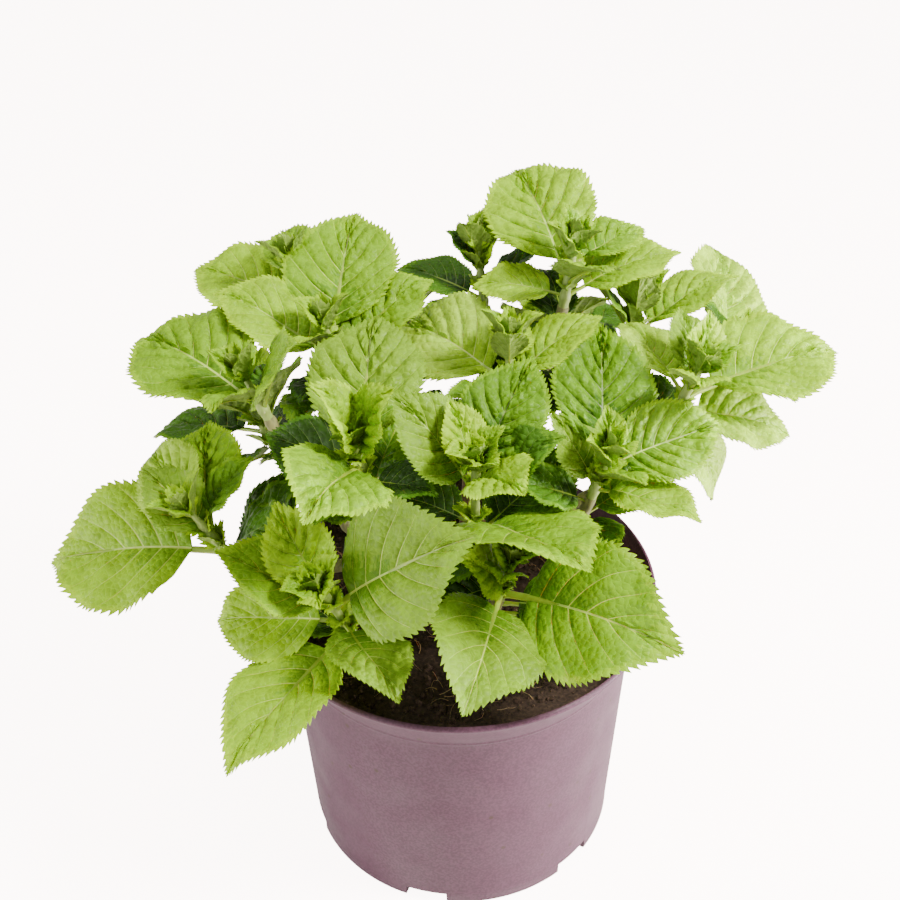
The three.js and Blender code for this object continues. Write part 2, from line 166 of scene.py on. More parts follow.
# The green of single leaves by mass, pair and place in it, as each looks in its light: shade and deep put
# painted shade on leaves in the crown's shadow, and pale puts painted light on leaves lit from behind. All
# others go by age.
TONES = {
    ("top", 0, 0): "fresh", ("top", 0, 1): "fresh", ("top", 1, 0): "fresh",
    ("upper_back", 0, 0): "deep", ("upper_back", 0, 1): "shade", ("upper_back", 1, 0): "shade",
    ("upper_left", 0, 0): "fresh", ("upper_left", 0, 1): "mid", ("upper_left", 1, 0): "mid",
    ("high_back_left", 0, 0): "fresh", ("high_back_left", 1, 0): "mid",
    ("left", 0, 0): "mid", ("left", 0, 1): "mid", ("left", 1, 0): "mid", ("left", 1, 1): "deep",
    ("left_front", 0, 0): "shade", ("left_front", 0, 1): "shade", ("left_front", 1, 0): "soft",
    ("left_front", 1, 1): "mid", ("left_front", 2, 0): "fresh", ("left_front", 2, 1): "fresh",
    ("front", 0, 0): "shade", ("front", 0, 1): "mid", ("front", 1, 0): "soft", ("front", 1, 1): "deep",
    ("front", 2, 0): "full", ("front", 2, 1): "fresh",
    ("centre", 0, 0): "pale", ("centre", 0, 1): "fresh", ("centre", 1, 0): "young",
    ("right_front", 0, 0): "soft", ("right_front", 0, 1): "fresh", ("right_front", 1, 0): "full",
    ("right_front", 2, 0): "mid",
    ("right", 0, 0): "pale", ("right", 0, 1): "pale", ("right", 1, 0): "fresh", ("right", 1, 1): "pale",
    ("right", 2, 0): "soft", ("right", 3, 0): "young",
    ("high_right", 0, 0): "pale", ("high_right", 0, 1): "fresh", ("high_right", 1, 1): "deep",
    ("upper_right", 0, 0): "fresh", ("upper_right", 1, 0): "young",
    ("far_left", 0, 0): "fresh", ("far_left", 0, 1): "deep", ("far_left", 1, 0): "soft",
    ("far_left", 1, 1): "mid", ("far_left", 2, 0): "pale", ("far_left", 2, 1): "full",
    ("low_left", 0, 0): "fresh", ("low_left", 0, 1): "shade", ("low_left", 1, 0): "fresh",
    ("low_left", 1, 1): "soft", ("low_left", 2, 0): "mid", ("low_left", 2, 1): "soft",
    ("low_front", 0, 0): "soft", ("low_front", 0, 1): "mid", ("low_front", 1, 0): "young",
    ("low_front", 1, 1): "shade",
}

# Leaves below each mass's lowest pair: how far below it, the sizes and turns tried, the gap they keep, the
# height they stay above and the distance from the pot's axis they stay within.
INNER = dict(below=(11.0, 22.0), rise=24, blades=(62, 52, 42, 32), turns=(90, 65, 115, 40, 140), clear=5.5,
             lowest=184.0, reach=122.0)

LIMBS = {
    "back_left": ((-40, 40, 203), ["upper_left", "high_back_left", "back_left"]),
    "left": ((-46, -10, 202), ["left", "left_front", "far_left"]),
    "right": ((50, 6, 212), ["right_front", "right", "upper_right", "high_right"]),
    "middle": ((26, 18, 228), ["top", "centre"]),
    "back": ((8, 58, 208), ["upper_back", "back_right", "back"]),
}
STOOL_BOUGHS = ["low_left", "low_front", "front"]

# ---------------------------------------------------------------- arrays and meshes


def unit(vectors):
    """The vectors at length 1."""
    return vectors / np.linalg.norm(vectors, axis=-1, keepdims=True)


def smooth(low, high, values):
    """0 below low, 1 above high, and 3t^2 - 2t^3 between."""
    t = np.clip((values - low) / (high - low), 0, 1)
    return t * t * (3 - 2 * t)


def ripples(points, pitch, seed, waves=20):
    """Smooth bumps of about unit size: a sum of sines along random directions, their wavelengths
    between 0.6 and 1.8 of the pitch."""
    rng = np.random.default_rng(seed)
    ways = unit(rng.normal(size=(waves, 3))) / (pitch * rng.uniform(0.6, 1.8, (waves, 1)))
    phases = rng.uniform(0, 2 * math.pi, waves)
    return np.sin(2 * math.pi * points @ ways.T + phases).sum(-1) / math.sqrt(waves / 2)


def grid_faces(rows, columns, closed=False):
    """The quads between neighbouring points of a grid. They face along rows x columns."""
    row = np.arange(rows - 1)[:, None]
    column = np.arange(columns if closed else columns - 1)[None, :]
    beside = (column + 1) % columns
    corners = [row * columns + column, (row + 1) * columns + column,
               (row + 1) * columns + beside, row * columns + beside]
    return np.stack(corners, -1).reshape(-1, 4)


class Piece:
    """Gathers closed surfaces, in millimetres, and makes one mesh of them."""

    def __init__(self):
        self.points, self.corners, self.sizes, self.finishes = [], [], [], []
        self.count = 0

    def add(self, points, *faces):
        """faces: pairs of an array of corner numbers, one row for each face, and the finish's number."""
        for corners, finish in faces:
            corners = np.atleast_2d(corners)
            self.corners.append((corners + self.count).ravel())
            self.sizes.append(np.full(len(corners), corners.shape[1]))
            self.finishes.append(np.broadcast_to(finish, len(corners)))
        self.points.append(points.reshape(-1, 3))
        self.count += self.points[-1].shape[0]

    def build(self, name, materials, nodes=(), sharp=50):
        """Makes the mesh. nodes are the ones it stands in for, and edges past sharp degrees stay sharp."""
        mesh = bpy.data.meshes.new(name)
        corners = np.concatenate(self.corners)
        sizes = np.concatenate(self.sizes)
        mesh.vertices.add(self.count)
        mesh.vertices.foreach_set("co", (np.concatenate(self.points) * MM).astype(np.float32).ravel())
        mesh.loops.add(len(corners))
        mesh.loops.foreach_set("vertex_index", corners.astype(np.int32))
        mesh.polygons.add(len(sizes))
        mesh.polygons.foreach_set("loop_start", (np.cumsum(sizes) - sizes).astype(np.int32))
        mesh.polygons.foreach_set("material_index", np.concatenate(self.finishes).astype(np.int32))
        mesh.update(calc_edges=True)
        mesh.shade_smooth()
        mesh.set_sharp_from_angle(angle=math.radians(sharp))
        for material in materials:
            mesh.materials.append(material)
        piece = bpy.data.objects.new(name, mesh)
        bpy.context.scene.collection.objects.link(piece)
        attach(piece, "root")
        if nodes:
            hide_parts(*nodes)


def tube(piece, points, finish, end_finish=None):
    """Closes rings of points into a tube with flat ends. Rings run anticlockwise about the path."""
    rows, columns, _ = points.shape
    ring = np.arange(columns)
    end = finish if end_finish is None else end_finish
    piece.add(points, (grid_faces(rows, columns, closed=True)[:, ::-1], finish),
              (ring[::-1], end), (ring + (rows - 1) * columns, end))


def rings(middles, sides, overs, radii):
    """Round sections along a path: the path's point plus the radius times cos a of its side direction
    and sin a of its over direction."""
    angles = np.arange(radii.shape[1]) * (2 * math.pi / radii.shape[1])
    across = np.cos(angles)[None, :, None] * sides[:, None, :]
    ring = across + np.sin(angles)[None, :, None] * overs[:, None, :]
    return middles[:, None, :] + radii[..., None] * ring


def lathe(profile, angles):
    """A profile of (radius, height) rows turned about the Z axis."""
    radius, height = profile[:, 0, None], profile[:, 1, None]
    heights = np.broadcast_to(height, (len(profile), len(angles)))
    return np.stack([radius * np.cos(angles), radius * np.sin(angles), heights], -1)


# ---------------------------------------------------------------- finishes


def paint(red, green, blue):
    """Linear colour of an 8-bit display colour."""
    share = np.array([red, green, blue]) / 255
    linear = np.where(share <= 0.04045, share / 12.92, ((share + 0.055) / 1.055) ** 2.4)
    return (*linear.tolist(), 1.0)


class Finish:
    """A Principled material with short calls for the nodes that vary it."""

    def __init__(self, name, **values):
        self.material = bpy.data.materials.new(name)
        self.material.use_nodes = True
        self.nodes = self.material.node_tree.nodes
        self.links = self.material.node_tree.links
        self.shader = self.nodes["Principled BSDF"]
        for socket, value in values.items():
            self.shader.inputs[socket.replace("_", " ")].default_value = value
        self.place = self.nodes.new("ShaderNodeTexCoord").outputs["Object"]

    def mapped(self, scale):
        """Object coordinates stretched along each axis."""
        node = self.nodes.new("ShaderNodeMapping")
        node.inputs["Scale"].default_value = scale
        self.links.new(self.place, node.inputs["Vector"])
        return node.outputs["Vector"]

    def noise(self, scale, detail=3.0, roughness=0.5, place=None):
        node = self.nodes.new("ShaderNodeTexNoise")
        node.inputs["Scale"].default_value = scale
        node.inputs["Detail"].default_value = detail
        node.inputs["Roughness"].default_value = roughness
        self.links.new(place or self.place, node.inputs["Vector"])
        return node.outputs["Fac"]

    def cells(self, scale, feature="DISTANCE_TO_EDGE", place=None):
        node = self.nodes.new("ShaderNodeTexVoronoi")
        node.feature = feature
        node.inputs["Scale"].default_value = scale
        self.links.new(place or self.place, node.inputs["Vector"])
        return node.outputs["Distance"]

    def ramp(self, value, *stops):
        """Colours or grey levels along a value."""
        node = self.nodes.new("ShaderNodeValToRGB")
        elements = node.color_ramp.elements
        while len(elements) < len(stops):
            elements.new(0.5)
        for element, (position, colour) in zip(elements, stops):
            element.position = position
            element.color = colour if isinstance(colour, tuple) else (colour, colour, colour, 1)
        self.links.new(value, node.inputs["Fac"])
        return node.outputs["Color"]

    def mix(self, share, first, second, way="MIX"):
        """Two colours mixed by a share. The node's inputs 0, 6 and 7 are the share and both colours."""
        node = self.nodes.new("ShaderNodeMix")
        node.data_type = "RGBA"
        node.blend_type = way
        for number, value in zip((0, 6, 7), (share, first, second)):
            self.feed(node.inputs[number], value)
        return node.outputs[2]

    def feed(self, socket, value):
        """Links a node's output to the socket, or sets a plain value on it."""
        if isinstance(value, bpy.types.NodeSocket):
            self.links.new(value, socket)
        else:
            socket.default_value = value

    def colour(self, value):
        self.feed(self.shader.inputs["Base Color"], value)

    def roughness(self, value, low, high):
        self.feed(self.shader.inputs["Roughness"], self.ramp(value, (0.3, low), (0.7, high)))

    def bumps(self, *heights):
        """Each height: a value, its strength and its depth in metres."""
        normal = None
        for value, strength, depth in heights:
            node = self.nodes.new("ShaderNodeBump")
            node.inputs["Strength"].default_value = strength
            node.inputs["Distance"].default_value = depth
            self.links.new(value, node.inputs["Height"])
            if normal is not None:
                self.links.new(normal, node.inputs["Normal"])
            normal = node.outputs["Normal"]
        self.links.new(normal, self.shader.inputs["Normal"])
        return self.material


def shade(colour, factor):
    """The colour made lighter or darker by a factor."""
    return tuple(min(1.0, channel * factor) for channel in colour[:3]) + (1.0,)


def leaf_finish(name, colour, gloss=0.46):
    """Blade: mottled green with a fine net of tertiary veins pressed in between low domes."""
    finish = Finish(name, Roughness=gloss, Specular_IOR_Level=0.16,
                    Subsurface_Weight=0.08, Subsurface_Scale=0.0025)
    finish.shader.inputs["Subsurface Radius"].default_value = (0.7, 1.0, 0.25)
    net = finish.cells(290)
    patches = finish.noise(110, 4)
    tone = finish.ramp(patches, (0.3, shade(colour, 0.76)), (0.7, shade(colour, 1.18)))
    lines = finish.ramp(net, (0.0, 0.4), (0.14, 0.0))
    finish.colour(finish.mix(lines, tone, shade(colour, 1.45)))
    finish.roughness(finish.noise(400, 2), gloss - 0.06, gloss + 0.1)
    domes = finish.ramp(finish.cells(290, "F1"), (0.1, 1.0), (0.75, 0.0))
    return finish.bumps((domes, 0.6, 0.0009), (finish.ramp(net, (0.0, 0.0), (0.1, 1.0)), 0.3, 0.0003),
                        (finish.noise(900, 2), 0.25, 0.00015))


def plain_plant_finish(name, colour, gloss, grain):
    """Veins and stalks: one green with soft streaks."""
    finish = Finish(name, Roughness=gloss, Subsurface_Weight=0.2, Subsurface_Scale=0.002)
    finish.colour(finish.ramp(finish.noise(grain), (0.3, shade(colour, 0.86)), (0.7, shade(colour, 1.1))))
    return finish.bumps((finish.noise(grain * 6, 2), 0.2, 0.0002))


def bark_finish(name, dark, light, fleck, gloss):
    """Bark: streaks along the limb's rise, pale raised flecks and a rough grain."""
    finish = Finish(name, Roughness=gloss)
    streaks = finish.noise(1.0, 5, 0.6, finish.mapped((420, 420, 60)))
    flecks = finish.ramp(finish.cells(260, "F1", finish.mapped((1, 1, 0.6))), (0.06, 1.0), (0.14, 0.0))
    finish.colour(finish.mix(flecks, finish.ramp(streaks, (0.35, dark), (0.65, light)), fleck))
    finish.roughness(streaks, gloss - 0.1, min(gloss + 0.1, 1.0))
    return finish.bumps((streaks, 0.5, 0.0006), (flecks, 0.4, 0.0004))


def pot_finish():
    """Matte mauve plastic with a fine speckle, faint flow marks and dry smudges of soil."""
    base = paint(70, 43, 58)
    finish = Finish("pot_plastic", Roughness=0.5, Specular_IOR_Level=0.25)
    tone = finish.ramp(finish.noise(9, 3), (0.3, shade(base, 0.96)), (0.7, shade(base, 1.04)))
    speckle = finish.ramp(finish.noise(650, 2), (0.4, 0.0), (0.62, 1.0))
    tone = finish.mix(speckle, tone, shade(base, 1.4))
    specks = finish.ramp(finish.cells(75, "F1"), (0.08, 0.9), (0.13, 0.0))
    rare = finish.ramp(finish.noise(23, 2), (0.51, 0.0), (0.56, 1.0))
    dirt = finish.mix(1.0, specks, rare, "MULTIPLY")
    finish.colour(finish.mix(dirt, tone, paint(62, 44, 36)))
    finish.roughness(finish.noise(40, 4), 0.42, 0.56)
    return finish.bumps((finish.noise(1300, 2), 0.25, 0.0001), (finish.noise(60, 2), 0.15, 0.0003))


def soil_finish(name, dark, light):
    """Compost: rough, with a grain of dark and light crumbs."""
    finish = Finish(name, Roughness=0.95, Specular_IOR_Level=0.2)
    grain = finish.noise(420, 6, 0.65)
    finish.colour(finish.ramp(grain, (0.35, dark), (0.62, light), (0.8, paint(86, 69, 57))))
    return finish.bumps((grain, 1.0, 0.0012), (finish.noise(1600, 2), 0.6, 0.0004))


# Greens by age, youngest first, of which shade is painted shade for leaves in the crown's shadow and deep is
# partly so; then soft, a leaf's own tint, and pale, painted light for leaves lit from behind.
AGES = dict(young=paint(140, 178, 4), fresh=paint(126, 165, 5), mid=paint(106, 146, 6),
            full=paint(84, 124, 8), deep=paint(58, 96, 10), shade=paint(38, 66, 8))
GREENS = dict(AGES, soft=paint(108, 143, 24), pale=paint(143, 179, 42))
BLADES = [leaf_finish(f"leaf_{name}", colour) for name, colour in GREENS.items()]
VEIN = plain_plant_finish("leaf_vein", paint(172, 196, 80), 0.5, 300)
UNDERSIDE = leaf_finish("leaf_underside", paint(116, 142, 56), 0.6)
STALK = plain_plant_finish("leaf_stalk", paint(134, 160, 36), 0.5, 160)
# A darker copy of the vein, painted shade for the veins of leaves in the crown's shadow.
SHADED_VEIN = plain_plant_finish("leaf_vein_shaded", paint(104, 130, 50), 0.5, 300)
LEAF_FINISHES = [*BLADES, VEIN, UNDERSIDE, STALK, SHADED_VEIN]
VEIN_NUMBER, UNDERSIDE_NUMBER, STALK_NUMBER, SHADED_VEIN_NUMBER = range(len(BLADES), len(LEAF_FINISHES))
# Greens that paint the shade deep in the crown: inner leaves take one of them, and leaves in them take the
# shaded vein.
SHADE_PAINT_GREENS = [list(GREENS).index(name) for name in ("full", "deep", "shade")]
# For each green in turn, the number of the darker one painted as shade in the hollow at a blade's foot and
# along its midrib, and of the lighter one painted as light on its raised margin and tip.
HOLLOW_SHADE_GREEN = [1, 2, 3, 4, 5, 5, 3, 1]
PALE_EDGE_AND_LIGHT_GREEN = [0, 0, 1, 2, 3, 4, 6, 7]

BARK = bark_finish("bark_old", paint(84, 62, 44), paint(134, 106, 78), paint(176, 150, 116), 0.85)
SHOOT_BARK = bark_finish("bark_young", paint(96, 96, 54), paint(140, 138, 82), paint(180, 168, 120), 0.7)
GREEN_STEM = bark_finish("stem_green", paint(120, 142, 62), paint(150, 170, 84), paint(188, 192, 130), 0.55)
CUT_WOOD = plain_plant_finish("cut_wood", paint(196, 150, 120), 0.8, 500)
POT_PLASTIC = pot_finish()
SOIL = soil_finish("compost", paint(34, 25, 21), paint(62, 48, 40))
CRUMB = soil_finish("compost_crumb", paint(40, 30, 25), paint(78, 61, 50))
FIBRE = plain_plant_finish("compost_fibre", paint(150, 122, 88), 0.85, 400)

# ---------------------------------------------------------------- pot and soil


def inner_radius(height):
    """Radius of the pot's inner wall: two straight stretches that meet at the collar's foot."""
    below = BASE_RADIUS + (COLLAR_RADIUS - BASE_RADIUS) * height / COLLAR_FOOT
    rise = (height - COLLAR_FOOT) / (POT_HEIGHT - COLLAR_FOOT)
    above = COLLAR_RADIUS + (RIM_RADIUS - COLLAR_RADIUS) * rise
    return np.where(height <= COLLAR_FOOT, below, above) - WALL


def make_pot():
    """A profile turned about Z, from the middle of the foot up the outside and down the inside, with
    chamfers, a low bead at the collar's foot and a round lip. Its bare numbers are millimetres, most of
    them from the named radii and heights. Inside a notch's sector, the foot's outer ring stands at the
    notch's height."""
    lip, foot = RIM_RADIUS, BASE_RADIUS
    inner = foot - NOTCHES["depth"]
    ring = [(0.5, 1.4), (inner - 2, 1.4), (inner - 1, 0.0), (inner - 0.1, 0.0)]
    notch_ring = [(inner, 0.0), (foot - 1.6, 0.0), (foot - 0.5, 0.4), (foot, 1.4)]
    rise = np.linspace(0.01, 1, 24)
    wall = [(foot + (COLLAR_RADIUS - foot) * t, 8.2 + (COLLAR_FOOT - 10.4) * t) for t in rise]
    bead = [(COLLAR_RADIUS + 0.1, COLLAR_FOOT - 1.6), (COLLAR_RADIUS + 0.35, COLLAR_FOOT - 1.0),
            (COLLAR_RADIUS + 0.4, COLLAR_FOOT - 0.3), (COLLAR_RADIUS + 0.3, COLLAR_FOOT + 0.3)]
    sweep = np.linspace(0.06, 1, 12)
    collar = [(COLLAR_RADIUS + (lip - 2.4 - COLLAR_RADIUS) * (0.82 * t + 0.18 * t * t),
               COLLAR_FOOT + (POT_HEIGHT - 4.6 - COLLAR_FOOT) * t) for t in sweep]
    turn = np.linspace(-90, 90, 9)
    roll = [(lip - 2.0 + 2.0 * math.cos(math.radians(a)), POT_HEIGHT - 2.0 + 2.0 * math.sin(math.radians(a)))
            for a in turn]
    heights = (POT_HEIGHT - 3.0, 172.0, 166.0, 158.0, COLLAR_FOOT, 120.0, INNER_FLOOR)
    inside = [(inner_radius(height) + 0.3, height) for height in heights]
    profile = np.array(ring + notch_ring + wall + bead + collar + roll + inside + [(0.5, INNER_FLOOR)])
    centres = NOTCHES["first"] + 360 / NOTCHES["count"] * np.arange(NOTCHES["count"])
    half = math.degrees(NOTCHES["width"] / 2 / foot)
    sides = np.array([-half - 0.15, -half, half, half + 0.15])
    angles = np.unique(np.concatenate([np.arange(0, 360, 1.5), (centres[:, None] + sides).ravel() % 360]))
    off = np.abs((angles[:, None] - centres + 180) % 360 - 180).min(1)
    points = lathe(profile, np.radians(angles))
    raised = np.zeros(len(profile), bool)
    raised[len(ring):len(ring) + len(notch_ring)] = True
    lift = np.where(off < half + 0.01, NOTCHES["height"], 0.0)
    points[raised, :, 2] = np.maximum(points[raised, :, 2], lift + 0.12 * points[raised, :, 2])
    piece = Piece()
    tube(piece, points, 0)
    piece.build("pot_body", [POT_PLASTIC], ["pot"], sharp=38)


# Bumps of the soil: how high and how wide, in millimetres.
SOIL_BUMPS = [(0.55, 26), (0.4, 9), (0.28, 4)]


def soil_height(x, y):
    """Soil level at a place: a low mound with bumps of three sizes."""
    radius = np.hypot(x, y)
    mound = SOIL_EDGE + (SOIL_MIDDLE - SOIL_EDGE) * smooth(98, SOIL_FLAT, radius)
    place = np.stack([x, y, np.zeros_like(x)], -1)
    bumps = sum(high * ripples(place, wide, SEED + number) for number, (high, wide) in enumerate(SOIL_BUMPS))
    return mound - 0.6 + bumps


def make_soil():
    """The compost: a round plug whose top is a polar grid lifted by soil_height."""
    edge = float(inner_radius(SOIL_EDGE)) - 0.4
    angles = np.radians(np.arange(0, 360, 1.5))
    side = [(0.5, INNER_FLOOR + 0.5), (float(inner_radius(INNER_FLOOR)) - 0.6, INNER_FLOOR + 0.5),
            (float(inner_radius(COLLAR_FOOT)) - 0.6, COLLAR_FOOT)]
    top = np.stack([np.linspace(edge, 1.0, 84), np.zeros(84)], -1)
    points = lathe(np.concatenate([np.array(side), top]), angles)
    surface = points[len(side):]
    surface[..., 2] = soil_height(surface[..., 0], surface[..., 1])
    piece = Piece()
    tube(piece, points, 0)
    piece.build("soil_surface", [SOIL], ["soil"], sharp=80)


def scatter(rng, count, reach):
    """Places spread evenly over a disc."""
    radius = reach * np.sqrt(rng.uniform(0, 1, count))
    angle = rng.uniform(0, 2 * math.pi, count)
    return radius * np.cos(angle), radius * np.sin(angle)


def make_crumbs(count=1500):
    """Crumbs of compost: twelve-cornered lumps, each squashed and turned its own way."""
    rng = np.random.default_rng(SEED + 5)
    golden = (1 + math.sqrt(5)) / 2
    corners = np.array([(0, a, b * golden) for a in (-1, 1) for b in (-1, 1)])
    corners = unit(np.concatenate([corners, np.roll(corners, 1, 1), np.roll(corners, 2, 1)]))
    near = np.linalg.norm(corners[:, None] - corners[None], axis=-1)
    linked = (near > 0.1) & (near < 1.2)
    faces = [(a, b, c) for a in range(12) for b in range(a) for c in range(b)
             if linked[a, b] and linked[b, c] and linked[a, c]]
    faces = np.array([(a, b, c) if np.linalg.det(corners[[a, b, c]]) > 0 else (a, c, b) for a, b, c in faces])
    x, y = scatter(rng, count, 101)
    size = rng.uniform(0.5, 1.0, count) ** 3 * 2.6 + 0.35
    turns = np.linalg.qr(rng.normal(size=(count, 3, 3)))[0]
    turns *= np.sign(np.linalg.det(turns))[:, None, None]
    lumps = corners[None] * rng.uniform(0.7, 1.15, (count, 12, 1)) * rng.uniform(0.5, 1.0, (count, 1, 3))
    lumps = lumps @ turns * size[:, None, None]
    middles = np.stack([x, y, soil_height(x, y) + 0.25 * size], -1)
    numbers = (np.arange(count)[:, None, None] * 12 + faces).reshape(-1, 3)
    piece = Piece()
    piece.add(lumps + middles[:, None], (numbers, 0))
    piece.build("soil_crumbs", [CRUMB], sharp=30)


def make_fibres(count=230):
    """Fine fibres lying on the compost: three-sided hairs along a gentle arc."""
    rng = np.random.default_rng(SEED + 6)
    x, y = scatter(rng, count, 96)
    heading = rng.uniform(0, 2 * math.pi, count)
    length = rng.uniform(4, 15, count)
    curl = rng.uniform(-1.2, 1.2, count)
    radius = rng.uniform(0.1, 0.28, count)
    t = np.linspace(0, 1, 6)
    piece = Piece()
    for i in range(count):
        way = heading[i] + curl[i] * t
        path_x = x[i] + length[i] * t * np.cos(way)
        path_y = y[i] + length[i] * t * np.sin(way)
        keep = np.minimum(1, 100 / np.hypot(path_x, path_y))
        height = soil_height(path_x * keep, path_y * keep) + 0.5 + 1.2 * np.sin(math.pi * t)
        middles = np.stack([path_x * keep, path_y * keep, height], -1)
        sides, overs = frames_along(middles)
        tube(piece, rings(middles, sides, overs, radius[i] * (1 - 0.6 * t)[:, None] * np.ones(3)), 0)
    piece.build("soil_fibres", [FIBRE])


# ---------------------------------------------------------------- stool, limbs and boughs


def frames_along(middles):
    """Side and over directions of a path, so that side x over runs along it."""
    along = unit(np.gradient(middles, axis=0))
    seed = np.array([0, 0, 1.0]) if abs(along[:, 2]).mean() < 0.9 else np.array([1.0, 0, 0])
    sides = unit(np.cross(along, seed))
    return sides, np.cross(along, sides)


def bezier(start, leave, end, arrive, steps):
    """A cubic curve that keeps its first and last directions for REACH of the straight distance."""
    reach = np.linalg.norm(end - start) * REACH
    t = np.linspace(0, 1, steps)[:, None]
    first, last = start + leave * reach, end - arrive * reach
    return (1 - t) ** 3 * start + 3 * (1 - t) ** 2 * t * first + 3 * (1 - t) * t * t * last + t ** 3 * end


def barked(middles, radii, seed, relief, columns=20, rings_every=26.0):
    """A limb's skin: its radius with long furrows, knots, and a raised ring at each old leaf pair."""
    sides, overs = frames_along(middles)
    round_points = rings(middles, sides, overs, np.ones((len(middles), columns)) * radii[:, None])
    travelled = np.concatenate([[0], np.cumsum(np.linalg.norm(np.diff(middles, axis=0), axis=1))])
    squeezed = rings(middles * 0.25, sides, overs, np.ones((len(middles), columns)) * radii[:, None])
    skin = relief * ripples(squeezed, 4.2, seed) + 0.6 * relief * ripples(round_points, 9.0, seed + 1)
    near_ring = np.abs((travelled + 9.0) % rings_every - rings_every / 2)
    skin = skin + (0.5 * np.exp(-(near_ring / 1.6) ** 2))[:, None]
    return rings(middles, sides, overs, radii[:, None] + skin)


def direction(lean, toward):
    """The unit vector that leans from upright towards a heading, both in degrees."""
    lean, toward = math.radians(lean), math.radians(toward)
    return np.array([math.sin(lean) * math.cos(toward), math.sin(lean) * math.sin(toward), math.cos(lean)])


STOOL_MIDDLE = np.array([STOOL["x"], STOOL["y"], SOIL_MIDDLE + STOOL["limbs_from"] * STOOL["height"]])


def make_stool():
    """The old woody base: a gnarled turned form, with short cut stubs."""
    piece = Piece()
    foot = SOIL_MIDDLE - 2.0
    outline = np.array(STOOL["outline"], float)
    heights = np.linspace(0, outline[-1, 1], 26)
    widths = np.interp(heights, outline[:, 1], outline[:, 0])
    profile = np.stack([widths * STOOL["radius"], heights * (STOOL["height"] + 2)], -1)
    profile = np.concatenate([profile, [(1.0, STOOL["height"] + 2)]])
    angles = np.radians(np.arange(0, 360, 7.5))
    points = lathe(profile, angles)
    grown = 1 + 0.05 * ripples(points * (1, 1, 0.4), 7, SEED + 9) + 0.04 * ripples(points, 3.5, SEED + 10)
    points[..., :2] *= grown[..., None]
    tube(piece, points + (STOOL["x"], STOOL["y"], foot), 0)
    for number, stub in enumerate(STUBS):
        way = direction(stub["lean"], stub["heading"])
        start = np.array([STOOL["x"], STOOL["y"], SOIL_MIDDLE + STUB_FROM * STOOL["height"]])
        middles = start + way * np.linspace(0, stub["length"], 14)[:, None]
        radii = np.linspace(stub["radius"] * STUB_FLARE, stub["radius"], 14)
        tube(piece, barked(middles, radii, SEED + 11 + number, RELIEF["stub"]), 0, 1)
    piece.build("stool_wood", [BARK, CUT_WOOD], ["stool"], sharp=60)


def stem_frame(shoot):
    """The stem's own axes: along it, east (nearest to +X) and north, with its tip and foot."""
    tip, lean, toward, pairs = shoot
    along = direction(lean, toward)
    east = unit(np.array([1.0, 0, 0]) - along * along[0])
    tip = np.array(tip, float)
    foot = tip - along * (pairs[0][0] + STEM_BELOW)
    return dict(along=along, east=east, north=np.cross(along, east), tip=tip, foot=foot)


def towards(start, end, lift):
    """The direction from start to end, lifted by a share of their distance and never below level."""
    way = end - start
    length = np.linalg.norm(way)
    way = np.array([way[0], way[1], max(way[2], 0) + lift * length])
    return unit(way)


LIMB_STEPS = 64
RELIEF = dict(limb=0.14, bough=0.09, stem=0.05, stub=0.16)


def make_limb(kind, name, start, leave, end, arrive, radii, finish, seed):
    """One tapering limb or bough along its curve. Returns the places along its middle."""
    middles = bezier(start, leave, end, arrive, LIMB_STEPS)
    piece = Piece()
    tube(piece, barked(middles, np.linspace(*radii, LIMB_STEPS), seed, RELIEF[kind]), 0)
    piece.build(f"{kind}_{name}_bark", [finish], [f"{kind}_{name}"], sharp=60)
    return middles


def make_wood(frames):
    """Makes limbs and boughs, and returns places along all of them."""
    seed = SEED + 30
    paths = []
    for name, (head, boughs) in LIMBS.items():
        head = np.array(head, float)
        leave = towards(STOOL_MIDDLE, head, LIFT["limb"])
        paths.append(make_limb("limb", name, STOOL_MIDDLE, leave, head, unit(head - STOOL_MIDDLE), LIMB_RADII,
                               BARK, seed))
        for bough in boughs:
            seed += 3
            end = frames[bough]["foot"]
            paths.append(make_limb("bough", bough, head, towards(head, end, LIFT["bough"]), end,
                                   frames[bough]["along"], BOUGH_RADII, SHOOT_BARK, seed))
    for bough in STOOL_BOUGHS:
        seed += 3
        end = frames[bough]["foot"]
        leave = towards(STOOL_MIDDLE, end, LIFT["stool_bough"])
        paths.append(make_limb("bough", bough, STOOL_MIDDLE, leave, end, frames[bough]["along"], BOUGH_RADII,
                               SHOOT_BARK, seed))
    return np.concatenate(paths)


def make_stem(name, stem, pairs):
    """A green stem that shrinks evenly and swells where a pair of leaves stands."""
    length = np.linalg.norm(stem["tip"] - stem["foot"])
    t = np.linspace(0, 1, 44)
    middles = stem["foot"] - stem["along"] * 1.5 + stem["along"] * (length + 1.0) * t[:, None]
    radii = STEM_RADII[0] + (STEM_RADII[1] - STEM_RADII[0]) * t
    for below, *_ in pairs:
        radii = radii + 0.8 * np.exp(-(((1 - t) * length - below) / 2.4) ** 2)
    radii = radii * np.sqrt(1 - smooth(0.9, 1.12, t))
    piece = Piece()
    no_rings = 1000.0
    tube(piece, barked(middles, radii, SEED + len(name) * 7, RELIEF["stem"], 16, no_rings), 0)
    piece.build(f"foliage_{name}_stem", [GREEN_STEM], [f"foliage_{name}"], sharp=60)


# ---------------------------------------------------------------- leaves

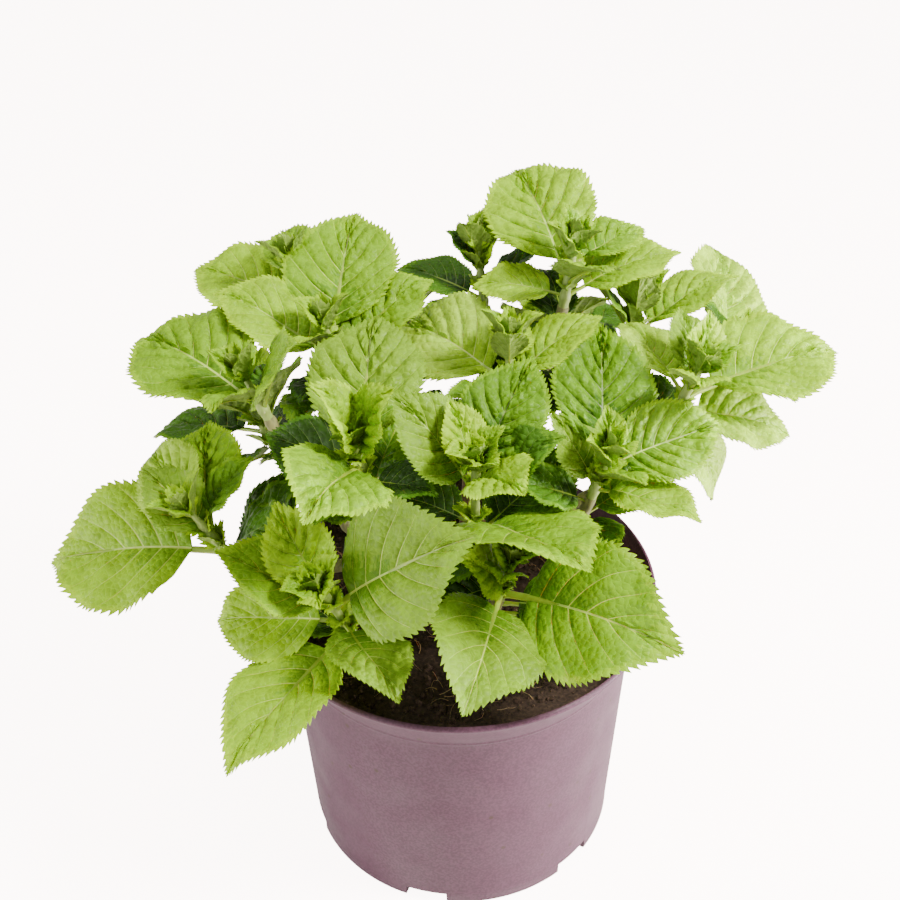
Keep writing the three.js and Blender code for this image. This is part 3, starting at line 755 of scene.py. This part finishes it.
# By kind of blade: columns on each side of the midrib, which are odd numbers so that every second column
# of the whole grid takes in the midrib and both margins; teeth in each gap between veins; stations and
# sides of the stalk; pads' height as a share of the blade; thickness in millimetres.
SIDE_COLUMNS = dict(large=11, small=7, bud=5)
TEETH = dict(large=[6, 4, 4, 3, 3, 2, 2, 2], small=[6, 3, 3, 2, 2, 1, 1], bud=[2, 2, 1, 1])
RIB = dict(large=(18, 10), small=(12, 8), bud=(7, 6))
PUCKER = dict(large=0.014, small=0.019, bud=0.015)
THICKNESS = dict(large=0.42, small=0.3, bud=0.3)

# Along a tooth: where its rows stand and how far out each reaches.
TOOTH_STOPS = np.array([0, 0.3, 0.64, 0.86])
TOOTH_OUT = np.array([0, 0.6, 1, 0.4])
TOOTH_SIZE = 0.7
SMALL_STEP = 0.004             # for the slope of the margin

# Shares of the blade's length, but for CREASE, which is a share of the pad.
VEIN_HALF = 0.0046
CREASE = 0.4
MARGIN_WAVE = 0.026
SLOW_WAVE = 0.012
DROOP = 0.05

BUD_BLADE = 22                 # blades shorter than this are a bud's
SMALL_BLADE = 50               # blades shorter than this are small
CLOSED = 30                    # blades shorter than this fold up most
YOUNG = (14, 32)               # millimetres below the tip, between which CRINKLE goes from all to none
CRINKLE = 1.3                  # how much more the youngest leaves pucker
LOOSE = dict(sway=0.06, twist=18, large=0.4)    # share of the blade, degrees, share for large blades
# Painted shade and painted light on a blade: how far the darker green of its hollow and the lighter green of
# its raised margin and tip reach.
HOLLOW_SHADE_DEPTH = 0.42              # faces nearer the foot and the midrib than this take the darker green
EDGE_LIGHT_DEPTH = 1.3             # faces nearer the margin and the tip than this take the lighter green

# Radii of the stalk and of the rib as shares of the blade, how far along it the rib runs, and the depth
# of the groove along the top as a share of the radius.
STALK_FORM = dict(runs_to=0.88, radius=0.0205, flare=0.009, rib=0.0165, tip=0.002, groove=0.35)

# A side bud's leaves: ranges of length in millimetres and of heading and rise in degrees.
SPRIG = dict(blade=(9, 17), spread=(28, 60), rise=(45, 72), above=1.5, petiole=0.15, bend=8.0, level=0.5,
             pairs_below=15)
BUD_LEVEL = 0.9                # how high on the stem the end bud's leaves count as, for their green


def half_width(s):
    """Half the blade's width at the share s of its length, as a share of the length: half of WIDTH
    times sin(pi s^0.82)^(0.58 + 0.85 s^2), which rounds the foot and draws the tip to a point."""
    s = np.clip(s, 0, 0.9995)
    return np.maximum(WIDTH / 2 * np.sin(math.pi * s ** 0.82) ** (0.58 + 0.85 * s * s), 0.02 * (1 - s))


def leaf_rows(teeth):
    """Rows of a blade. rank counts veins from the foot, whole at a vein, which has a row on each side of
    it. out is how far the row's end stands out as part of a tooth, and shift says which side of a vein
    the row is on."""
    rank, out, shift = [], [], []
    for gap, count in enumerate(teeth):
        stops = (np.arange(count)[:, None] + TOOTH_STOPS).ravel() / count
        rank += [gap + stops, [gap + 1.0]]
        out += [np.tile(TOOTH_OUT, count), [0.0]]
        shift += [[1.0 if gap else 0.0], np.zeros(len(stops) - 1), [-1.0 if gap + 1 < len(teeth) else 0.0]]
    return np.concatenate(rank), np.concatenate(out), np.concatenate(shift)


def leaf_surface(kind, blade, rng, fold, crinkle):
    """A blade in its own axes, in millimetres: x along the midrib, y across it, z up from it.

    A row starts on the midrib at the share a = (rank / gaps)^1.25 of the length and ends on the margin
    at e = a + 0.85 a^0.45 (1 - a), half_width(e) out. Between them x goes by 0.5 c + 0.5 c^2 and y by c,
    the column's share of the way, and a tooth pushes the outermost columns out along the margin's normal,
    tilted towards the tip. z is the lift of both folded halves, plus a pad between neighbouring veins,
    plus waves that grow towards the margin. ripple adds small folds to the pads of the upper face only.

    Returns x, y, the upper z and the lower z of the grid, the side of a vein that each row is on, where
    each row starts on the midrib, and each column's share of the way to the margin."""
    rank, out, shift = leaf_rows(TEETH[kind])
    gaps = len(TEETH[kind])
    step = np.arange(1, SIDE_COLUMNS[kind] + 1) / SIDE_COLUMNS[kind]
    side = step * (1.3 - 0.3 * step)
    column = np.concatenate([-side[::-1], [0, 0, 0], side])
    strip = len(side)
    c = np.abs(column)[None, :]
    sign = np.where(np.arange(len(column)) <= strip, -1.0, 1.0)[None, :]
    number = (sign > 0).astype(int)
    foot = np.minimum(rank / gaps, 0.9995)[:, None] ** 1.25
    end = foot + 0.85 * foot ** 0.45 * (1 - foot)
    vein_half = VEIN_HALF * blade * (1 - 0.75 * c)
    x = (foot + (end - foot) * (0.5 * c + 0.5 * c * c)) * blade + shift[:, None] * vein_half
    half = half_width(end) * blade
    rib = np.minimum((0.0075 - 0.0055 * foot) * blade, half)
    y = sign * np.maximum(c * half, rib)
    y[:, strip + 1] = 0
    slope = (half_width(end + SMALL_STEP) - half_width(end - SMALL_STEP)) / (2 * SMALL_STEP)
    length = np.sqrt(1 + slope ** 2)
    size = rng.uniform(0.7, 1.25, (2, len(rank)))[number[0]].T
    fade = smooth(0.06, 0.2, end) * smooth(0, 0.05, 1 - end)
    tooth = out[:, None] * size * fade * smooth(0.86, 1.0, c) * TOOTH_SIZE * blade / sum(TEETH[kind])
    x = x + tooth * (0.75 - slope) / length
    y = y + sign * tooth * (1 + 0.75 * slope) / length
    pad = np.where(np.abs(shift) > 0, 0.0, np.sin(math.pi * (rank % 1.0)) ** 0.75)[:, None]
    phase = rng.uniform(0, 2 * math.pi, (2, gaps + 1))[number[0]].T[np.floor(rank).astype(int)]
    bulge = PUCKER[kind] * crinkle * blade * rng.uniform(0.8, 1.25) * smooth(1.0, 0.7, foot)
    span = np.sin(math.pi * np.clip(c, 0, 1) ** 0.75) ** 0.6
    crease = CREASE * bulge * pad * span
    ripple = crease * np.sin(2 * math.pi * 3.5 * c + phase)
    z = bulge * pad * span
    reach = np.abs(y) / (WIDTH / 2 * blade)
    z = z + math.sin(fold) * np.abs(y) * (1.1 - 0.4 * reach ** 2)
    share = x / blade
    waves, starts = rng.uniform(1.6, 3.4, 2), rng.uniform(0, 2 * math.pi, 2)
    wave = np.sin(2 * math.pi * waves[number] * share + starts[number])
    z = z + MARGIN_WAVE * blade * wave * c ** 2 * np.sin(math.pi * np.clip(share, 0, 1)) ** 0.5
    wide, start = rng.uniform(0.8, 1.4), rng.uniform(0, 2 * math.pi)
    z = z + SLOW_WAVE * blade * np.sin(2 * math.pi * (wide * share + 0.7 * y / blade) + start)
    z = z - DROOP * blade * rng.uniform(0.2, 1.2) * smooth(0.7, 1.0, share) ** 2
    low = z - 1.3 * crease - THICKNESS[kind] * (1 - 0.5 * c ** 2)
    return x, y, z + ripple, low, shift, foot[:, 0], c[0]


def underside(z, low):
    """Heights of the lower face, which has every second column of the blade: low there, and less where
    the straight line between two of its columns would rise through the blade."""
    over = np.maximum((low[:, :-1:2] + low[:, 2::2]) / 2 - z[:, 1::2] + 0.1, 0)
    return low[:, ::2] - np.maximum(np.pad(over, ((0, 0), (1, 0))), np.pad(over, ((0, 0), (0, 1))))


def place_leaf(stem, leaf, petiole, bend, sway, twist):
    """Returns a function from a leaf's own axes to the plant's. The midrib leaves the stalk at the rise
    and bends down evenly; the blade turns about it by the roll and by the twist along its length."""
    below, heading, rise, blade, roll = leaf
    turn = math.radians(heading)
    outward = stem["east"] * math.cos(turn) + stem["north"] * math.sin(turn)
    across = np.cross(stem["along"], outward)
    first = math.radians(rise)
    curl = math.radians(bend) / blade
    root = stem["tip"] - stem["along"] * below
    start = root + blade * petiole * (outward * math.cos(first) + stem["along"] * math.sin(first))

    def place(x, y, z):
        on_blade, on_stalk = np.maximum(x, 0), np.minimum(x, 0)
        angle = first - curl * on_blade
        out = (math.sin(first) - np.sin(angle)) / curl + on_stalk * math.cos(first)
        up = (np.cos(angle) - math.cos(first)) / curl + on_stalk * math.sin(first)
        share = on_blade / blade
        tilt = math.radians(roll) + twist * (share - 0.3) * (x > 0)
        y = y + sway * blade * share ** 2
        over = -np.sin(angle)[..., None] * outward + np.cos(angle)[..., None] * stem["along"]
        wide = np.cos(tilt)[..., None] * across + np.sin(tilt)[..., None] * over
        normal = np.cos(tilt)[..., None] * over - np.sin(tilt)[..., None] * across
        middle = start + out[..., None] * outward + up[..., None] * stem["along"]
        return middle + y[..., None] * wide + z[..., None] * normal

    return place


def add_leaf(piece, stem, leaf, petiole, bend, green, rng, largest="large"):
    """One leaf: a thin closed blade with serrated margin, and a stalk that runs on under it as the rib.
    Its faces are the grid of the upper face, the coarser one of the lower face, and a rim between them."""
    below, blade = leaf[0], leaf[3]
    kind = "bud" if blade < BUD_BLADE else "small" if blade < SMALL_BLADE else largest
    fold = math.radians(FOLD["open"] if blade > CUPPED else FOLD["cupped"] if blade > CLOSED else FOLD["bud"])
    crinkle = 1 + CRINKLE * (1 - smooth(*YOUNG, below))
    x, y, z, low, shift, up, out = leaf_surface(kind, blade, rng, fold * rng.uniform(0.8, 1.25), crinkle)
    loose = 1.0 if blade < SMALL_BLADE else LOOSE["large"]
    sway = loose * rng.uniform(-LOOSE["sway"], LOOSE["sway"])
    twist = math.radians(loose * rng.uniform(-LOOSE["twist"], LOOSE["twist"]))
    place = place_leaf(stem, leaf, petiole, bend, sway, twist)
    rows, columns = x.shape
    strip = (columns - 3) // 2
    top = place(x, y, z)
    bottom = place(x[:, ::2], y[:, ::2], underside(z, low))
    count, width = rows * columns, bottom.shape[1]
    marks = np.full((rows - 1, columns - 1), green)
    vein_rows = (shift[:-1] < 0) & (shift[1:] > 0)
    depth = (up[:-1] + up[1:])[:, None] / 2 + 0.4 * (out[:-1] + out[1:])
    depth = depth + rng.uniform(-0.13, 0.13, marks.shape)
    # Painted shade in the hollow at the foot and along the midrib, painted light on the raised margin and
    # tip, and an outermost strip that is partly the leaf's own paler edge and partly painted light.
    marks[depth < HOLLOW_SHADE_DEPTH] = HOLLOW_SHADE_GREEN[green]
    marks[depth > EDGE_LIGHT_DEPTH] = PALE_EDGE_AND_LIGHT_GREEN[green]
    marks[:, [0, -1]] = PALE_EDGE_AND_LIGHT_GREEN[green]
    # Veins of leaves in these greens are darkened too, as painted shade.
    vein = SHADED_VEIN_NUMBER if green in SHADE_PAINT_GREENS else VEIN_NUMBER
    marks[vein_rows, 1:-1] = vein
    marks[:, strip:strip + 2] = vein
    marks[-2:] = green
    row = np.arange(rows - 1)
    left = np.stack([row * columns, count + row * width, count + (row + 1) * width, (row + 1) * columns], -1)
    right = np.stack([row * columns + columns - 1, (row + 1) * columns + columns - 1,
                      count + (row + 1) * width + width - 1, count + row * width + width - 1], -1)
    first = np.concatenate([np.arange(columns), count + np.arange(width)[::-1]])
    last = np.concatenate([np.arange(columns) + (rows - 1) * columns,
                           count + (rows - 1) * width + np.arange(width)[::-1]])[::-1]
    piece.add(np.concatenate([top.reshape(-1, 3), bottom.reshape(-1, 3)]),
              (grid_faces(rows, columns), marks.ravel()),
              (grid_faces(rows, width)[:, ::-1] + count, UNDERSIDE_NUMBER),
              (left, green), (right, green), (first, green), (last, green))
    add_rib(piece, place, blade, petiole, *RIB[kind])


def add_rib(piece, place, blade, petiole, stations, sides):
    """Stalk and midrib: rings of shrinking radius, just under the blade's trough from its foot on."""
    t = np.linspace(0, 1, stations)
    x = (-petiole + (petiole + STALK_FORM["runs_to"]) * t) * blade
    stalk = STALK_FORM["radius"] + STALK_FORM["flare"] * smooth(-0.6, -1, x / (petiole * blade))
    rib = STALK_FORM["rib"] * (1 - np.clip(x / blade, 0, 1)) + STALK_FORM["tip"]
    radius = blade * np.where(x < 0, stalk, rib)
    angle = np.arange(sides) * 2 * math.pi / sides
    channel = 1 - STALK_FORM["groove"] * np.clip(np.sin(angle), 0, 1) ** 2
    depth = -radius * np.where(x < 0, 0.55, 0.75) - 0.12
    y = radius[:, None] * np.cos(angle)
    z = depth[:, None] + radius[:, None] * np.sin(angle) * channel
    tube(piece, place(np.broadcast_to(x[:, None], y.shape), y, z), STALK_NUMBER)


def green_for(tone, blade, level, rng):
    """Number of the leaf's green: the one TONES gives it, or by its age, as small leaves high on the
    stem are the youngest and brightest. Age goes by up to 3.2 with the blade's length between 22 and
    70 mm, by up to 1.6 with its level, and by chance."""
    if tone:
        return list(GREENS).index(tone)
    age = 3.2 * smooth(22, 70, blade) + 1.6 * level + rng.normal(0, 0.5)
    return int(np.clip(round(age), 0, len(AGES) - 1))


def leaf_points(stem, leaf):
    """Places spread over a leaf's blade: five lines from near its foot to its tip."""
    blade = leaf[3]
    share = np.linspace(0.12, 0.98, 9)[:, None]
    y = np.array([-0.9, -0.45, 0, 0.45, 0.9]) * half_width(share) * blade
    place = place_leaf(stem, leaf, PETIOLE, BEND["large"], 0.0, 0.0)
    return place(np.broadcast_to(share * blade, y.shape), y, np.zeros_like(y)).reshape(-1, 3)


def leaf_of(below, heading, rise, blade, roll=0):
    """A leaf's five values: distance below the tip, heading, rise, length of blade, and roll."""
    return below, heading, rise, blade, roll


def all_leaf_points(frames):
    """Places spread over every leaf in SHOOTS."""
    return np.concatenate([leaf_points(frames[name], leaf_of(below, *leaf))
                           for name, shoot in SHOOTS.items()
                           for below, *leaves in shoot[3]
                           for leaf in leaves])


def inner_leaves(stem, pairs, taken):
    """Leaves under a mass's lowest pair, in the crown's shade: on each side of the bough the first of
    INNER's sizes and turns that stays clear of everything in taken. Returns them with taken grown."""
    found = []
    for below in INNER["below"]:
        for side in (0, 180):
            trials = [(pairs[0][0] + below, pairs[0][1][0] + turn + side, INNER["rise"], blade, 0)
                      for blade in INNER["blades"] for turn in INNER["turns"]]
            for leaf in trials:
                points = leaf_points(stem, leaf)
                squares = (points ** 2).sum(1)[:, None] + (taken ** 2).sum(1) - 2 * points @ taken.T
                gap = math.sqrt(squares.min())
                lowest, reach = points[:, 2].min(), np.hypot(*points[:, :2].T).max()
                inside = lowest > INNER["lowest"] and reach < INNER["reach"]
                if inside and gap > INNER["clear"]:
                    found.append(leaf)
                    taken = np.concatenate([taken, points])
                    break
    return found, taken


def make_foliage(name, shoot, inner):
    """One mass: its stem, its pairs of leaves in the order of SHOOTS, with a side bud at each leaf that
    is far enough below the tip, then its inner leaves and the bud at its end."""
    stem = stem_frame(shoot)
    pairs = shoot[3]
    rng = np.random.default_rng([SEED, *name.encode()])
    make_stem(name, stem, pairs)
    piece = Piece()
    for order, (below, *leaves) in enumerate(pairs):
        level = 1 - order / max(len(pairs) - 1, 1)
        for number, (heading, rise, blade, *roll) in enumerate(leaves):
            leaf = leaf_of(below, heading, rise, blade, *roll)
            green = green_for(TONES.get((name, order, number)), blade, level, rng)
            bend = BEND["small"] if blade < SMALL else BEND["large"]
            add_leaf(piece, stem, leaf, PETIOLE, bend, green, rng)
            if below > SPRIG["pairs_below"]:
                add_sprig(piece, stem, below, heading, rng)
    for leaf in inner:
        # Inner leaves take one of the darker greens as painted shade of the crown above them.
        add_leaf(piece, stem, leaf, PETIOLE, BEND["large"], rng.choice(SHADE_PAINT_GREENS), rng, "small")
    heading = pairs[-1][1][0]
    for order, (below, blade, rise, bend) in enumerate(BUD):
        for opposite in (0, 180):
            leaf = (below, heading + 90 * (order + 1) + opposite, rise + rng.uniform(-6, 6), blade, 0)
            add_leaf(piece, stem, leaf, BUD_PETIOLE, bend, green_for(None, blade, BUD_LEVEL, rng), rng)
    piece.build(f"foliage_{name}_leaves", LEAF_FINISHES, [f"foliage_{name}"], sharp=48)


def add_sprig(piece, stem, below, heading, rng):
    """The side bud above a leaf's stalk: a pair of very small leaves, one to each side."""
    for side in (-1, 1):
        blade = rng.uniform(*SPRIG["blade"])
        turn = side * rng.uniform(*SPRIG["spread"])
        leaf = (below - SPRIG["above"], heading + turn, rng.uniform(*SPRIG["rise"]), blade, 0)
        green = green_for(None, blade, SPRIG["level"], rng)
        add_leaf(piece, stem, leaf, SPRIG["petiole"], SPRIG["bend"], green, rng)


# ---------------------------------------------------------------- surroundings

FLOOR_REACH = 20.0
# Brightness of floor and world: as they light the plant, and as they are looked at.
FLOOR_GLOW = (0.6, 10.0)
WORLD_GLOW = (0.48, 10.0)

# Round lamps: where each is, what it points at, its width, its power in watts and its colour.
CROWN = (0, 0, 0.25)
POT_WALL = (0, 0, 0.09)
LAMPS = dict(
    key_right=((0.9, -0.35, 1.35), CROWN, 0.4, 54, (1.0, 0.96, 0.88)),
    fill_left=((-1.1, -0.7, 0.9), CROWN, 1.2, 11, (0.97, 0.98, 1.0)),
    top_soft=((-0.1, 0.5, 1.6), CROWN, 0.8, 9, (1, 1, 1)),
    low_right=((1.4, -0.2, 0.14), POT_WALL, 0.5, 75, (1.0, 0.94, 0.95)),
    low_left=((-1.4, -0.3, 0.14), POT_WALL, 0.5, 16, (1.0, 0.95, 0.95)))

# Pitch and roll in degrees, lens and sensor in millimetres.
VIEW = dict(place=(-0.0038, -0.6066, 0.7319), pitch=37.09, roll=0.95, lens=56, sensor=36)


def glow(tree, socket, cast, seen):
    """Brightness of a surround: one strength where it lights the plant, another where it is looked at."""
    path = tree.nodes.new("ShaderNodeLightPath")
    strength = tree.nodes.new("ShaderNodeMapRange")
    strength.inputs["To Min"].default_value = cast
    strength.inputs["To Max"].default_value = seen
    tree.links.new(path.outputs["Is Camera Ray"], strength.inputs["Value"])
    tree.links.new(strength.outputs["Result"], socket)


def make_stage():
    """A white floor, and an even warm world round the plant."""
    floor_finish = Finish("floor_white", Roughness=0.9)
    floor_finish.colour(paint(250, 242, 239))
    floor_finish.shader.inputs["Emission Color"].default_value = paint(255, 240, 235)
    glow(floor_finish.material.node_tree, floor_finish.shader.inputs["Emission Strength"], *FLOOR_GLOW)
    mesh = bpy.data.meshes.new("floor")
    corners = [(x * FLOOR_REACH, y * FLOOR_REACH, 0) for x, y in ((-1, -1), (1, -1), (1, 1), (-1, 1))]
    mesh.from_pydata(corners, [], [(0, 1, 2, 3)])
    mesh.materials.append(floor_finish.material)
    floor = bpy.data.objects.new("floor", mesh)
    bpy.context.scene.collection.objects.link(floor)
    world = bpy.data.worlds.new("studio")
    bpy.context.scene.world = world
    world.use_nodes = True
    background = world.node_tree.nodes["Background"]
    background.inputs["Color"].default_value = (1.0, 0.97, 0.9, 1)
    glow(world.node_tree, background.inputs["Strength"], *WORLD_GLOW)


def add_light(name, place, target, size, power, colour):
    """One round area lamp that points at its target."""
    light = bpy.data.lights.new(name, "AREA")
    light.shape = "DISK"
    light.size = size
    light.energy = power
    light.color = colour
    lamp = bpy.data.objects.new(name, light)
    bpy.context.scene.collection.objects.link(lamp)
    way = Vector(target) - Vector(place)
    lamp.location = place
    lamp.rotation_euler = way.to_track_quat("-Z", "Y").to_euler()


def make_lights():
    """All of LAMPS."""
    for name, lamp in LAMPS.items():
        add_light(name, *lamp)


def make_camera():
    """Turned camera: it looks along +Y, pitched down, with a slight roll."""
    pitch, roll = math.radians(VIEW["pitch"]), math.radians(VIEW["roll"])
    c, s = math.cos(roll), math.sin(roll)
    sin_p, cos_p = math.sin(pitch), math.cos(pitch)
    right = Vector((c, -s * sin_p, -s * cos_p))
    up = Vector((s, c * sin_p, c * cos_p))
    back = Vector((0, -cos_p, sin_p))
    camera = bpy.data.cameras.new("view")
    camera.lens = VIEW["lens"]
    camera.sensor_width = VIEW["sensor"]
    eye = bpy.data.objects.new("view", camera)
    bpy.context.scene.collection.objects.link(eye)
    turned = Matrix((right, up, back)).transposed().to_4x4()
    turned.translation = Vector(VIEW["place"])
    eye.matrix_world = turned
    bpy.context.scene.camera = eye


make_stage()
make_lights()
make_camera()
make_pot()
make_soil()
make_crumbs()
make_fibres()
make_stool()
stems = {name: stem_frame(shoot) for name, shoot in SHOOTS.items()}
occupied = np.concatenate([make_wood(stems), all_leaf_points(stems)])
for name, shoot in SHOOTS.items():
    shaded, occupied = inner_leaves(stems[name], shoot[3], occupied)
    make_foliage(name, shoot, shaded)
